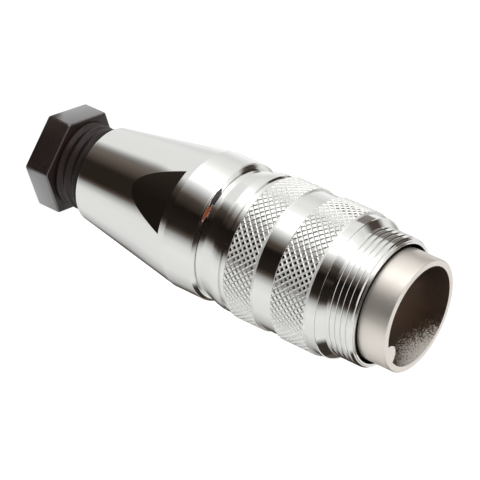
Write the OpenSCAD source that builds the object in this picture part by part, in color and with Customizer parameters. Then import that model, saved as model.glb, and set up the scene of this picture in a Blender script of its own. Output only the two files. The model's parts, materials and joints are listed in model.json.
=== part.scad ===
// Screw-coupling coaxial cable connector, standing on its gland nut with the mouth up.
// +Z runs along the connector's axis. The origin is the centre of the gland nut's rear face.
// The front, -Y, is the side that one wrench flat faces. All sizes are in millimetres.

/* [Cable gland] */
// Diameter of the cable that the gland takes
cable_d = 6.5; // [6:0.1:7.2]
// Radial room round the cable in the gland nut
cable_room = 0.25; // [0.15:0.05:0.5]
// Wall of the gland nut's stem, from its cable hole to the thread crest
stem_wall = 1.95; // [1.6:0.05:2.3]
// Step from the stem to each flat of the hexagon head
hex_shoulder = 0.55; // [0.4:0.05:1.2]
// Thickness of the hexagon head
hex_len = 3.5; // [2.5:0.1:5]
// Chamfer on the head's corners
hex_chamfer = 0.35; // [0.2:0.05:0.6]
// Stem that shows between the head and the housing
nut_gap = 4.0; // [3:0.1:5]
// Stem that is screwed into the housing
stem_engage = 4.5; // [3.5:0.1:5.5]
// Travel of the nut from rest to fully tightened
nut_travel = 2.5; // [1.25:0.25:2.5]
// Rounding at the mouth of the cable hole
hole_round = 0.6; // [0.3:0.1:1]

/* [Housing] */
// Length of the housing
housing_len = 20.5; // [19.5:0.1:24]
// Wall of the housing at its rear end
rear_wall = 0.65; // [0.5:0.05:1.2]
// Wall of the housing round its front counterbore
front_wall = 2.05; // [1.6:0.05:2.6]
// Length of the straight cylinder at the front
front_band = 4.5; // [3:0.1:5]
// Rounding of the rear edge
rear_round = 0.5; // [0.3:0.05:0.6]
// Rounding of the front rim's outer edge
front_round = 0.4; // [0.2:0.05:0.6]
// Distance from the front rim back to the end of the wrench flats
flat_start = 5.45; // [5:0.05:6.5]
// Depth of each wrench flat at its front end
flat_depth = 1.02; // [0.6:0.02:1.2]
// Depth of the gland bore from the rear face
gland_bore_len = 11.5; // [11:0.1:12.5]
// Depth of the front counterbore
counterbore_len = 2.5; // [2:0.1:3]

/* [Coupling ring] */
// Gap between the ring and the shield tube, seen at the mouth
mouth_gap = 0.45; // [0.3:0.05:0.6]
// Wall of the ring's front from its bore to the thread crest
thread_wall = 0.6; // [0.5:0.05:0.9]
// Length of the external thread
thread_len = 3.9; // [3:0.1:5]
// Lead-in chamfer at the front of the thread
thread_chamfer = 0.4; // [0.2:0.05:0.5]
// Axial length of the taper from the shoulder down to the thread
taper_len = 0.75; // [0.4:0.05:1.2]
// Height of the smooth shoulder over the thread crest
shoulder_h = 0.78; // [0.5:0.02:1.2]
// Width of the smooth shoulder in front of the knurls
shoulder_len = 1.25; // [1:0.05:2]
// Height of the knurl's groove bottoms over the smooth shoulder
knurl_lift = 0.05; // [0.03:0.01:0.1]
// Depth of the grooves between the knurl's diamonds
knurl_depth = 0.2; // [0.1:0.01:0.3]
// Diamonds round one turn of the knurl
knurl_count = 64; // [48:2:80]
// Height of one diamond along the axis
knurl_pitch = 0.86; // [0.6:0.02:1.2]
// Width of the front knurl band
knurl_front_len = 4.95; // [4:0.05:6]
// Width of the smooth band between the knurls
band_len = 2.55; // [2:0.05:3.5]
// Width of the rear knurl band
knurl_rear_len = 4.25; // [3.5:0.05:5.5]
// Width of the run-out groove behind the rear knurl
runout_len = 0.8; // [0.6:0.05:1.5]
// Depth of the run-out groove under the smooth land behind it
runout_depth = 0.2; // [0.1:0.05:0.3]
// Width of the smooth land behind the run-out groove
land_len = 1.0; // [0.5:0.1:1.5]
// Axial length of the S-shaped swell from the neck up to the land
swell_len = 1.75; // [1.2:0.05:2.2]
// Length of the straight neck at the rear
neck_len = 1.0; // [0.8:0.1:1.6]
// Wall of the neck round the ring's journal bore
neck_wall = 1.45; // [1.35:0.05:1.7]
// Depth of the front bore, from the front face to the inner shoulder
ring_bore_len = 9.3; // [8:0.1:10]

/* [Shield tube] */
// Inside diameter of the shield tube
tube_id = 12.3; // [11.5:0.1:13]
// Wall of the shield tube
tube_wall = 0.8; // [0.6:0.05:1]
// Length of tube that stands out of the coupling ring
tube_reach = 3.7; // [2.5:0.1:5]
// Depth of the open socket inside the tube
socket_depth = 10; // [9:0.1:10.8]
// Rounding of the outer edge of the tube's rim
rim_round = 0.2; // [0.1:0.05:0.3]
// Width of the key rib inside the tube
key_w = 3.0; // [2:0.1:3.5]
// Height of the key rib over the tube's inner wall
key_h = 1.15; // [0.8:0.05:1.3]
// Angle of the key rib round the axis, from +X towards +Y
key_angle = -27; // [-180:1:180]
// Thickness of the flange that the coupling ring pulls on
flange_len = 1.9; // [1.4:0.1:2.5]
// Step from the tube's outside down to the ring journal
journal_step = 0.25; // [0.15:0.05:0.4]
// Step from the journal down to the rear thread
spigot_step = 0.4; // [0.3:0.05:0.5]
// Wall between the journal and the insulator bore
journal_wall = 1.5; // [1.4:0.05:1.7]
// Height of the lip that stops the insulators
lip_h = 0.6; // [0.4:0.05:0.9]
// Thickness of that lip
lip_len = 1.0; // [0.7:0.1:1.5]

/* [Insulators and contact] */
// Diameter of the centre contact's pin
pin_d = 2.0; // [1.5:0.1:2.4]
// Depth of the pin's tip below the tube's rim
pin_recess = 5.0; // [4.6:0.1:6]
// Step from the pin to the contact's collar
collar_h = 0.6; // [0.4:0.1:0.8]
// Length of the contact's collar
collar_len = 1.5; // [1:0.1:2]
// Step from the collar to the solder cup
cup_step = 0.2; // [0.1:0.05:0.3]
// Length of the solder cup behind the collar
cup_len = 8.0; // [7:0.1:9]
// Wall of the solder cup
cup_wall = 0.6; // [0.4:0.05:0.7]
// Depth of the solder cup's hole
cup_depth = 4.5; // [3:0.1:6]
// Length of the scoop cut out of the cup's side
scoop_len = 2.5; // [1.5:0.1:3]
// Length of the front insulator behind the lip
front_ins_len = 7.0; // [6:0.1:7.5]
// Length of the front insulator's nose ahead of the lip
nose_len = 1.5; // [1:0.1:2]
// Length of the rear insulator
rear_ins_len = 5.0; // [4:0.1:5.5]
// Length of the ring nut behind the insulators
ins_nut_len = 2.5; // [2:0.1:3]
// Wall of that ring nut
ins_nut_wall = 1.9; // [1.5:0.1:2.2]
// Width of its two spanner slots
spanner_slot = 1.2; // [0.8:0.1:1.6]
// Depth of its two spanner slots
spanner_depth = 0.9; // [0.5:0.1:1.2]

/* [Clamp, seals and washers] */
// Thickness of the thrust washer
washer_t = 0.8; // [0.5:0.1:1]
// Wall of the clamp cage's fingers
cage_wall = 1.0; // [0.8:0.05:1.2]
// Number of slots between the fingers
cage_slots = 6; // [4:1:8]
// Width of each slot
cage_slot_w = 0.8; // [0.5:0.1:1.2]
// Length of the closed collar that carries the fingers
cage_collar = 1.2; // [0.8:0.1:1.6]
// Thickness of the braid clamp's flange
clamp_flange = 1.0; // [0.7:0.1:1.3]
// Inside diameter of the braid clamp, for the cable's core
core_d = 4.8; // [4:0.1:5]
// Wall of the braid clamp's sleeve
clamp_wall = 0.5; // [0.4:0.05:0.7]
// Length of the braid clamp's sleeve
clamp_len = 5.0; // [4:0.1:6]
// Wall of the spacer sleeve
spacer_wall = 0.7; // [0.5:0.05:0.9]
// Thickness of the seal rings' section
o_ring_d = 0.8; // [0.6:0.05:0.85]
// Distance from the housing rim back to its seal ring
housing_seal_at = 1.2; // [1:0.1:1.4]
// Distance from the housing rim forward to the coupling ring's seal ring
ring_seal_at = 5.5; // [3:0.1:9]
// Thickness of the slip washer behind the coupling ring
slip_t = 0.9; // [0.6:0.05:1]
// Radial width of the slip washer
slip_w = 0.75; // [0.5:0.05:0.8]

/* [Fits] */
// Radial clearance of pieces that are screwed or pushed together
fit = 0.05; // [0.02:0.01:0.08]
// Radial clearance of the gland thread
gland_fit = 0.1; // [0.05:0.01:0.2]
// Radial and axial clearance where the coupling ring turns
run_fit = 0.05; // [0.02:0.01:0.08]
// Axial gap between the coupling ring and the housing
end_gap = 0.1; // [0.05:0.05:0.3]
// Clearance round the pieces that the gland nut moves
slide_fit = 0.1; // [0.05:0.01:0.2]

/* [Hidden] */
$fn = 96;
over = 1;

// Radii of the gland, from the cable outwards
hole_r = cable_d / 2 + cable_room;
stem_r = hole_r + stem_wall;
hex_r = (stem_r + hex_shoulder) / cos(30);
gland_r = stem_r + gland_fit;
rear_r = gland_r + rear_wall;
cage_r = gland_r - fit;
seal_r = cage_r - cage_wall - slide_fit;
seal_hole_r = cable_d / 2 + fit;
washer_hole_r = hole_r + slide_fit;

// Radii of the shield tube and what turns on it
socket_r = tube_id / 2;
tube_r = socket_r + tube_wall;
ring_bore_r = tube_r + mouth_gap;
flange_r = ring_bore_r - 2 * run_fit;
journal_r = tube_r - journal_step;
ring_journal_r = journal_r + run_fit;
spigot_r = journal_r - spigot_step;
ins_bore_r = journal_r - journal_wall;
lip_r = ins_bore_r - lip_h;
ins_r = ins_bore_r - fit;

// Radii of the coupling ring's outside
thread_r = ring_bore_r + thread_wall;
smooth_r = thread_r + shoulder_h;
valley_r = smooth_r + knurl_lift;
knurl_r = valley_r + knurl_depth;
knurl_root_r = (smooth_r + ring_bore_r) / 2;
neck_r = ring_journal_r + neck_wall;
slip_r = ring_journal_r + fit + slip_w;

// Radii of the housing
counterbore_r = journal_r + fit;
housing_thread_r = spigot_r + fit;
front_r = counterbore_r + front_wall;

// Radii of the contact
pin_r = pin_d / 2;
collar_r = pin_r + collar_h;
cup_r = collar_r - cup_step;
cup_hole_r = cup_r - cup_wall;

// Heights of the gland and the housing
stem_top = hex_len + nut_gap + stem_engage;
housing_bottom = hex_len + nut_gap;
housing_top = housing_bottom + housing_len;
cone_top = housing_top - front_band;
flat_top = housing_top - flat_start;
clamp_bottom = housing_bottom + gland_bore_len;
clamp_top = clamp_bottom + clamp_flange;
counterbore_bottom = housing_top - counterbore_len;
seal_bottom = stem_top + washer_t;
cage_bottom = stem_top + nut_travel + slide_fit;

// Heights of the coupling ring, from its rear end forwards
ring_bottom = housing_top + end_gap;
neck_top = ring_bottom + neck_len;
swell_top = neck_top + swell_len;
land_top = swell_top + land_len;
knurl_rear_bottom = land_top + runout_len;
knurl_rear_top = knurl_rear_bottom + knurl_rear_len;
knurl_front_bottom = knurl_rear_top + band_len;
knurl_front_top = knurl_front_bottom + knurl_front_len;
shoulder_top = knurl_front_top + shoulder_len;
taper_top = shoulder_top + taper_len;
ring_top = taper_top + thread_len;
ring_step = ring_top - ring_bore_len;
slip_recess = housing_top + slip_t + slide_fit;

// Heights of the shield tube and what it holds
tube_top = ring_top + tube_reach;
socket_floor = tube_top - socket_depth;
lip_bottom = socket_floor - lip_len;
flange_bottom = ring_step + run_fit;
flange_top = flange_bottom + flange_len;
tube_bottom = clamp_top + end_gap;
nose_top = socket_floor + nose_len;
ins_joint = lip_bottom - front_ins_len;
rear_ins_bottom = ins_joint - rear_ins_len;
ins_nut_bottom = rear_ins_bottom - ins_nut_len;
pin_top = tube_top - pin_recess;
collar_bottom = ins_joint - collar_len;
cup_bottom = collar_bottom - cup_len;

// Outer radius of the housing's cone at a height
function cone_r(z) = rear_r + (front_r - rear_r) * (z - housing_bottom) / (cone_top - housing_bottom);
flat_at = cone_r(flat_top) - flat_depth;

// Points of a quarter round from angle a to angle b about a centre
round_steps = 6;
function quarter(r, z, radius, a, b) =
    [for (i = [0 : round_steps])
        let (t = a + (b - a) * i / round_steps)
        [r + radius * cos(t), z + radius * sin(t)]];

nickel = "#c9c7c2";
satin_nickel = "#bab6b0";
gland_black = "#3a3230";

// A turned solid from a list of [radius, height] points
module turned(points) {
    rotate_extrude() polygon(points);
}

// A plain tube between two heights
module tube(outer, inner, bottom, top) {
    turned([[inner, bottom], [outer, bottom], [outer, top], [inner, top]]);
}

// A round-section seal ring whose outside just meets a radius
module seal_ring(outer, height) {
    rotate_extrude() translate([outer - o_ring_d / 2, height]) circle(d = o_ring_d, $fn = 32);
}

// The groove that a seal ring lies in, cut from a shaft of a radius
module seal_groove(outer, height) {
    tube(outer + over, outer - o_ring_d - fit, height - o_ring_d / 2 - fit, height + o_ring_d / 2 + fit);
}

// Black moulded nut: hexagon head, stem and cable hole
module gland_nut() {
    corner_r = hex_r - hex_chamfer;
    color(gland_black) difference() {
        union() {
            intersection() {
                cylinder(r = hex_r, h = hex_len, $fn = 6);
                turned([
                    [0, 0], [corner_r, 0], [hex_r, hex_chamfer],
                    [hex_r, hex_len - hex_chamfer], [corner_r, hex_len], [0, hex_len]
                ]);
            }
            turned([
                [0, hex_len / 2], [stem_r, hex_len / 2], [stem_r, stem_top - hex_chamfer],
                [stem_r - hex_chamfer, stem_top], [0, stem_top]
            ]);
        }
        turned(concat(
            [[0, -over], [hole_r + hole_round, -over]],
            quarter(hole_r + hole_round, hole_round, hole_round, 270, 180),
            [[hole_r, stem_top + over], [0, stem_top + over]]
        ));
    }
}

// Slip washer between the turning stem and the seal
module thrust_washer() {
    color("#d8d2c0") tube(seal_r, washer_hole_r, stem_top, seal_bottom);
}

// Rubber sleeve that is squeezed on to the cable
module cable_seal() {
    color("#2b2b2b") tube(seal_r, seal_hole_r, seal_bottom, clamp_bottom);
}

// Slotted plastic cage whose fingers close round the seal
module clamp_cage() {
    color("#e8e4da") difference() {
        tube(cage_r, cage_r - cage_wall, cage_bottom, clamp_bottom);
        for (i = [0 : cage_slots - 1])
            rotate([0, 0, i * 360 / cage_slots])
                translate([0, -cage_slot_w / 2, cage_bottom - over])
                    cube([cage_r + over, cage_slot_w, clamp_bottom - cage_collar - cage_bottom + over]);
    }
}

// Flanged brass sleeve that the cable's braid is folded over
module braid_clamp() {
    core_r = core_d / 2;
    color("#c9a45a") turned([
        [core_r, clamp_bottom], [housing_thread_r - fit, clamp_bottom], [housing_thread_r - fit, clamp_top],
        [core_r + 2 * clamp_wall, clamp_top], [core_r + clamp_wall, clamp_top + clamp_len],
        [core_r, clamp_top + clamp_len]
    ]);
}

// Sleeve that carries the clamp's push to the insulators
module spacer_sleeve() {
    color("#c9a45a") tube(ins_r, ins_r - spacer_wall, clamp_top, ins_nut_bottom);
}

// Tapered nickel-plated housing with two wrench flats
module housing() {
    color(nickel) difference() {
        turned(concat(
            [[gland_r, housing_bottom]],
            quarter(rear_r - rear_round, housing_bottom + rear_round, rear_round, 270, 360),
            [[front_r, cone_top]],
            quarter(front_r - front_round, housing_top - front_round, front_round, 0, 90),
            [
                [counterbore_r, housing_top], [counterbore_r, counterbore_bottom],
                [housing_thread_r, counterbore_bottom], [housing_thread_r, clamp_bottom], [gland_r, clamp_bottom]
            ]
        ));
        for (side = [0, 180])
            rotate([0, 0, side])
                translate([-front_r - over, -flat_at - front_r, housing_bottom - over])
                    cube([2 * (front_r + over), front_r, flat_top - housing_bottom + over]);
    }
}

// Rubber ring that seals the shield tube in the housing
module housing_seal_ring() {
    color("#2b2b2b") seal_ring(journal_r, housing_top - housing_seal_at);
}

// Nylon washer that the coupling ring turns against
module slip_washer() {
    color("#e8e4da") tube(slip_r, journal_r + fit, housing_top, housing_top + slip_t);
}

// Closed sleeve whose outside is a lattice of diamond pyramids, rooted inside the ring's wall
module knurl_band(bottom, length) {
    rows = max(2, 2 * round(length / knurl_pitch));
    turn = 360 / knurl_count;
    last = knurl_count - 1;
    // Ring of points at a level of the lattice, where odd levels are turned by half a diamond
    function level(r, k, shift) = [
        for (i = [0 : last])
            let (a = turn * (i + (k % 2) / 2 + shift))
            [r * cos(a), r * sin(a), bottom + length * k / rows]
    ];
    valleys = [for (k = [0 : rows]) each level(valley_r, k, 0)];
    crests = [for (k = [1 : rows - 1]) each level(knurl_r, k, 1 / 2)];
    roots = [for (k = [0, rows]) each level(knurl_root_r, k, 0)];
    function valley(k, i) = k * knurl_count + i % knurl_count;
    function crest(k, i) = len(valleys) + valley(k - 1, i);
    function root(end, i) = len(valleys) + len(crests) + valley(end, i);
    pyramids = [
        for (k = [1 : rows - 1]) for (i = [0 : last])
            let (
                left = valley(k, i), right = valley(k, i + 1), top = crest(k, i),
                up = valley(k + 1, i + k % 2), down = valley(k - 1, i + k % 2)
            )
            each [[left, up, top], [up, right, top], [right, down, top], [down, left, top]]
    ];
    ends = [
        for (i = [0 : last]) each [
            [valley(0, i), valley(1, i), valley(0, i + 1)],
            [valley(rows, i + 1), valley(rows - 1, i), valley(rows, i)],
            [valley(0, i), valley(0, i + 1), root(0, i)],
            [valley(0, i + 1), root(0, i + 1), root(0, i)],
            [valley(rows, i + 1), valley(rows, i), root(1, i)],
            [valley(rows, i + 1), root(1, i), root(1, i + 1)],
            [root(0, i), root(0, i + 1), root(1, i)],
            [root(0, i + 1), root(1, i + 1), root(1, i)]
        ]
    ];
    polyhedron(concat(valleys, crests, roots), concat(pyramids, ends));
}

// Knurled ring with the external coupling thread
module coupling_ring() {
    color(nickel) union() {
        ring_core();
        knurl_band(knurl_rear_bottom, knurl_rear_len);
        knurl_band(knurl_front_bottom, knurl_front_len);
    }
}

// Turned body of the coupling ring
module ring_core() {
    runout_r = smooth_r - runout_depth;
    runout_top = knurl_rear_bottom - runout_depth;
    // The swell is a hollow arc and a round one of the same radius, each with half the rise
    half_rise = (smooth_r - neck_r) / 2;
    half_len = swell_len / 2;
    swell_radius = (half_rise * half_rise + half_len * half_len) / (2 * half_rise);
    swell_sweep = asin(half_len / swell_radius);
    turned(concat(
        [[slip_r + slide_fit, ring_bottom], [neck_r, ring_bottom]],
        quarter(neck_r + swell_radius, neck_top, swell_radius, 180, 180 - swell_sweep),
        quarter(smooth_r - swell_radius, swell_top, swell_radius, -swell_sweep, 0),
        [
            [smooth_r, land_top], [runout_r, land_top], [runout_r, runout_top], [smooth_r, knurl_rear_bottom],
            [smooth_r, shoulder_top], [thread_r, taper_top],
            [thread_r, ring_top - thread_chamfer], [thread_r - thread_chamfer, ring_top],
            [ring_bore_r, ring_top], [ring_bore_r, ring_step], [ring_journal_r, ring_step],
            [ring_journal_r, slip_recess], [slip_r + slide_fit, slip_recess]
        ]
    ));
}

// Rubber ring that seals the coupling ring and gives it drag
module ring_seal_ring() {
    color("#2b2b2b") seal_ring(journal_r, housing_top + ring_seal_at);
}

// Cross-section of the open socket, with the rounded key rib left standing at its wall
module socket_section() {
    tip = socket_r - key_h;
    wall_x = sqrt(socket_r * socket_r - key_w * key_w / 4);
    centre = (socket_r * socket_r - tip * tip) / (2 * (wall_x - tip));
    difference() {
        circle(r = socket_r);
        rotate(key_angle) translate([centre, 0]) circle(r = centre - tip);
    }
}

// Keyed shell: socket tube, flange, ring journal and rear thread
module shield_tube() {
    color(satin_nickel) difference() {
        turned(concat(
            [
                [ins_bore_r, tube_bottom], [spigot_r, tube_bottom], [spigot_r, counterbore_bottom],
                [journal_r, counterbore_bottom], [journal_r, flange_bottom], [flange_r, flange_bottom],
                [flange_r, flange_top], [tube_r, flange_top]
            ],
            quarter(tube_r - rim_round, tube_top - rim_round, rim_round, 0, 90),
            [[lip_r, tube_top], [lip_r, lip_bottom], [ins_bore_r, lip_bottom]]
        ));
        translate([0, 0, socket_floor]) linear_extrude(socket_depth + over) socket_section();
        seal_groove(journal_r, housing_top - housing_seal_at);
        seal_groove(journal_r, housing_top + ring_seal_at);
    }
}

// Slotted ring nut that holds the insulators against the lip
module insulator_nut() {
    color("#c9a45a") difference() {
        tube(ins_r, ins_r - ins_nut_wall, ins_nut_bottom, rear_ins_bottom);
        translate([-ins_r - over, -spanner_slot / 2, ins_nut_bottom - over])
            cube([2 * (ins_r + over), spanner_slot, spanner_depth + over]);
    }
}

// Insulator behind the contact's collar
module rear_insulator() {
    color("#f2f0ea") turned([
        [cup_r + fit, rear_ins_bottom], [ins_r, rear_ins_bottom], [ins_r, ins_joint],
        [collar_r + fit, ins_joint], [collar_r + fit, collar_bottom], [cup_r + fit, collar_bottom]
    ]);
}

// Insulator whose nose stands in the socket round the pin
module front_insulator() {
    color("#f2f0ea") turned([
        [pin_r + fit, ins_joint], [ins_r, ins_joint], [ins_r, lip_bottom], [lip_r - fit, lip_bottom],
        [lip_r - fit, nose_top], [pin_r + fit, nose_top]
    ]);
}

// Gold-plated centre contact with a rounded pin and a solder cup
module centre_contact() {
    color("#d6b25e") difference() {
        turned(concat(
            [
                [0, cup_bottom + cup_depth], [cup_hole_r, cup_bottom + cup_depth], [cup_hole_r, cup_bottom],
                [cup_r, cup_bottom], [cup_r, collar_bottom], [collar_r, collar_bottom],
                [collar_r, ins_joint], [pin_r, ins_joint]
            ],
            quarter(0, pin_top - pin_r, pin_r, 0, 90)
        ));
        translate([-cup_r - over, -cup_r - over, cup_bottom - over])
            cube([2 * (cup_r + over), cup_r + over, scoop_len + over]);
    }
}

gland_nut();
thrust_washer();
cable_seal();
clamp_cage();
braid_clamp();
spacer_sleeve();
housing();
housing_seal_ring();
slip_washer();
coupling_ring();
ring_seal_ring();
shield_tube();
insulator_nut();
rear_insulator();
front_insulator();
centre_contact();
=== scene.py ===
"""Finished look of a straight coaxial connector with a screw coupling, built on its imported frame.

The connector stands on the flat rear face of its gland nut, with the open mouth up. All lengths are in metres in
the frame's own axes. Every piece that shows is modelled here, and the pieces inside keep their CAD meshes.
"""

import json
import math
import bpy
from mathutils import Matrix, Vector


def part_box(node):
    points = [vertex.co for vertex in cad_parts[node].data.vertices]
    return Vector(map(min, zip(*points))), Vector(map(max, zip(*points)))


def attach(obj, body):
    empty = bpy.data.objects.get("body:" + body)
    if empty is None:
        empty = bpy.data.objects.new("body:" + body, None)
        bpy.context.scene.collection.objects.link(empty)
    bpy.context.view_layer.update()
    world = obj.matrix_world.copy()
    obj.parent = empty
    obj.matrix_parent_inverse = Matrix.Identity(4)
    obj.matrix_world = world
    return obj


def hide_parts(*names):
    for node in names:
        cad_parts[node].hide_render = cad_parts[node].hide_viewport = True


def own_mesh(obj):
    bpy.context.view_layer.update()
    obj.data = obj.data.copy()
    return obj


bl_info = {
    "name": "Coaxial connector",
    "version": (1, 0, 0),
    "blender": (4, 5, 0),
    "location": "View3D > Sidebar > Connector",
    "description": "Builds the finished look of a coaxial connector with a screw coupling",
    "category": "Object",
}

import bmesh
import bpy
from mathutils import Quaternion, Vector

MM = 0.001
TURN_STEPS = 192
OVER = 0.5 * MM

# What polished metal mirrors round the connector: heading in degrees from +X, and brightness
SURROUNDINGS = (
    ("left of the softbox", -165, 1.3), ("softbox", -155, 2.3), ("softbox edge", -138, 1.9),
    ("wall beside the softbox", -130, 1.1), ("its lower part", -119, 0.4), ("dark room on the left", -109, 0.08),
    ("dark room behind the camera", -90, 0.012), ("dark room on the right", -62, 0.025),
    ("foot of the table", -56, 0.1), ("edge of the table", -50, 0.47), ("near table", -40, 0.92),
    ("white table", -25, 1.05), ("table in the shade", 12, 0.95), ("end of the table", 38, 0.58),
    ("corner of the room", 56, 0.12), ("dark corner", 88, 0.06), ("far wall", 108, 0.5), ("white wall", 124, 1.15),
    ("wall behind", 155, 0.88),
)
# Brightness straight behind, where the headings meet
BEHIND = 1.05
# Two unlit corners at the back, high on the left and low on the right: direction, cosines of edge and core, brightness
DARK_CORNERS = (((-0.686, 0.525, 0.504), 0.915, 0.965, 0.08), ((0.69, 0.715, 0.115), 0.89, 0.95, 0.05))
# Distances on the floor over which the mirrored room changes, from and to
NEAR_SHADE = (24 * MM, 30 * MM)
FULL_SOFTBOX = (32 * MM, 40 * MM)
FAR_ROOM = (50 * MM, 80 * MM)
DARK_THING = (80 * MM, 83 * MM)
# Painted light on the painted-shade plate, as light dusty specks on one side of the mouth, given as a shift of its
# noise: none, and specks that close up
NO_LIT_DUST, LIT_DUST = -0.18, 0.27

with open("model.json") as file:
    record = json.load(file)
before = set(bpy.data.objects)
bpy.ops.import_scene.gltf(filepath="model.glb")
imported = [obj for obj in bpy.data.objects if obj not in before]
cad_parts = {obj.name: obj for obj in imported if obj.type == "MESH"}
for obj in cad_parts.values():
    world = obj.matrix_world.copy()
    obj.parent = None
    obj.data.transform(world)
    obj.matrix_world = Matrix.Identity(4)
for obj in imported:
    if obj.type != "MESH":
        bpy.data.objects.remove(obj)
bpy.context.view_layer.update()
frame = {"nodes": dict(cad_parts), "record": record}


def linear(hex_colour):
    """A colour written as sRGB hex, as linear red, green, blue and alpha."""
    values = [int(hex_colour[i : i + 2], 16) / 255 for i in (1, 3, 5)]
    return [v / 12.92 if v <= 0.04045 else ((v + 0.055) / 1.055) ** 2.4 for v in values] + [1.0]


def size(name, description, millimetres):
    """A length for a property group, written in millimetres and kept in metres."""
    return bpy.props.FloatProperty(
        name=name, description=description, default=millimetres * MM, min=0.0, precision=5,
        subtype="DISTANCE", unit="LENGTH",
    )


def tint(name, description, hex_colour):
    """A colour for a property group, written as sRGB hex."""
    return bpy.props.FloatVectorProperty(
        name=name, description=description, default=linear(hex_colour), size=4, min=0.0, max=1.0, subtype="COLOR",
    )


# Settings

class NutSizes(bpy.types.PropertyGroup):
    """Sizes of the moulded gland nut that its box doesn't give."""

    head_len: size("Head length", "Length of the hexagon head along the axis", 3.5)
    edge_round: size("Edge rounding", "Rounding of the moulded head's edges", 0.3)
    stem_radius: size("Stem radius", "Radius over the ridges of the stem", 5.45)
    ridge_pitch: size("Ridge pitch", "Distance between two ridges of the stem's thread", 1.25)
    ridge_depth: size("Ridge depth", "Height of the stem's rounded ridges", 0.32)
    hole_radius: size("Cable hole", "Radius of the hole that the cable goes through", 3.5)
    hole_round: size("Hole rounding", "Rounding of the cable hole's mouth", 0.6)


class HousingSizes(bpy.types.PropertyGroup):
    """Sizes of the tapered housing that its box doesn't give."""

    rear_radius: size("Rear radius", "Outer radius at the rear end", 6.2)
    rear_round: size("Rear rounding", "Rounding of the rear edge", 0.5)
    band_len: size("Front band", "Length of the cylinder in front of the cone", 4.5)
    rim_slope: size("Rim slope", "Length of the slope at the front rim's outer edge", 0.4)
    rim_round: size("Rim rounding", "Rounding where that slope starts", 0.3)
    gland_bore: size("Gland bore", "Radius of the bore that the gland nut screws into", 5.55)
    shell_bore: size("Shell bore", "Radius of the bore that the shield tube screws into", 6.35)
    shell_depth: size("Shell depth", "Depth of the shell bore below the front rim", 9.0)
    counterbore: size("Counterbore", "Radius of the counterbore at the front", 6.75)
    counterbore_depth: size("Counterbore depth", "Depth of the counterbore", 2.5)
    flats: size("Across flats", "Distance between the two wrench flats", 15.25)
    flat_len: size("Flat length", "How far the wrench flats reach from the rear end", 15.05)


class RingSizes(bpy.types.PropertyGroup):
    """Sizes of the coupling ring that its box doesn't give."""

    neck_radius: size("Neck radius", "Radius of the narrow rear neck", 8.2)
    neck_len: size("Neck length", "Length of the straight part of the neck", 0.5)
    swell_len: size("Swell length", "Length of the swell in front of the neck", 2.25)
    rear_gap: size("Rear gap", "How far the neck reaches back into the gap to the housing", 0.07)
    land_len: size("Land length", "Length of the narrow smooth land in front of the swell", 1.0)
    smooth_radius: size("Smooth radius", "Radius of the smooth bands", 8.78)
    runout_depth: size("Run-out depth", "Depth of the groove behind the rear knurl", 0.2)
    rear_knurl_at: size("Rear knurl", "Start of the rear knurl in front of the ring's rear face", 4.55)
    rear_knurl_len: size("Rear knurl length", "Length of the rear knurl band", 4.25)
    front_knurl_at: size("Front knurl", "Start of the front knurl in front of the ring's rear face", 11.35)
    front_knurl_len: size("Front knurl length", "Length of the front knurl band", 4.95)
    knurl_pitch: size("Knurl pitch", "Height of one knurl diamond along the axis", 0.86)
    knurl_depth: size("Knurl depth", "Depth of the grooves between the diamonds", 0.1)
    thread_radius: size("Thread radius", "Crest radius of the coupling thread", 8.0)
    thread_pitch: size("Thread pitch", "Pitch of the coupling thread", 0.75)
    thread_depth: size("Thread depth", "Depth of the coupling thread", 0.18)
    thread_chamfer: size("Thread chamfer", "Chamfer at the thread's front end", 0.4)
    thread_len: size("Thread length", "Length of the coupling thread", 3.9)
    taper_len: size("Taper length", "Length of the taper from the shoulder down to the thread", 0.75)
    shoulder_edge: size("Shoulder edge", "Width of the small step at the shoulder's front edge", 0.12)
    bore: size("Bore", "Radius of the bore in front", 7.4)
    bore_depth: size("Bore depth", "Depth of the front bore", 9.3)
    journal: size("Journal", "Radius of the bore that runs on the shield tube", 6.75)
    recess: size("Recess", "Radius of the recess for the slip washer", 7.6)
    recess_depth: size("Recess depth", "Depth of the slip washer's recess", 0.9)
    knurl_top: bpy.props.FloatProperty(
        name="Knurl top", description="Width of a diamond's flat top as a share of the diamond",
        default=0.56, min=0.1, max=0.9, subtype="FACTOR",
    )
    knurl_count: bpy.props.IntProperty(
        name="Knurl count", description="Diamonds round one turn of the ring", default=64, min=12,
    )


class TubeSizes(bpy.types.PropertyGroup):
    """Sizes of the keyed shield tube that its box doesn't give."""

    outer_radius: size("Outer radius", "Outer radius of the open tube", 6.95)
    socket_radius: size("Socket radius", "Radius of the open socket", 6.15)
    socket_depth: size("Socket depth", "Depth of the open socket", 10.0)
    rim_round: size("Rim rounding", "Rounding of the rim's outer edge", 0.2)
    flange_len: size("Flange length", "Length of the flange that the ring pulls on", 1.9)
    flange_front: size("Flange place", "Front of the flange below the rim", 11.05)
    journal_radius: size("Journal radius", "Radius of the journal that the ring turns on", 6.7)
    spigot_radius: size("Spigot radius", "Radius of the rear thread in the housing", 6.3)
    spigot_len: size("Spigot length", "Length of the rear thread", 5.4)
    insulator_bore: size("Insulator bore", "Radius of the bore that holds the insulators", 5.2)
    lip_radius: size("Lip radius", "Radius of the lip in front of the insulators", 4.6)
    lip_len: size("Lip length", "Length of the lip", 1.0)
    key_width: size("Key width", "Width of the key rib where it leaves the wall", 3.0)
    key_height: size("Key height", "How far the key rib stands into the socket", 1.15)
    groove_depth: size("Seal groove", "Depth of the grooves for the two seal rings", 0.7)
    groove_width: size("Seal groove width", "Width of those grooves", 1.1)
    key_angle: bpy.props.FloatProperty(
        name="Key angle", description="Place of the key rib round the axis",
        default=math.radians(-27), subtype="ANGLE", unit="ROTATION",
    )


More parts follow.
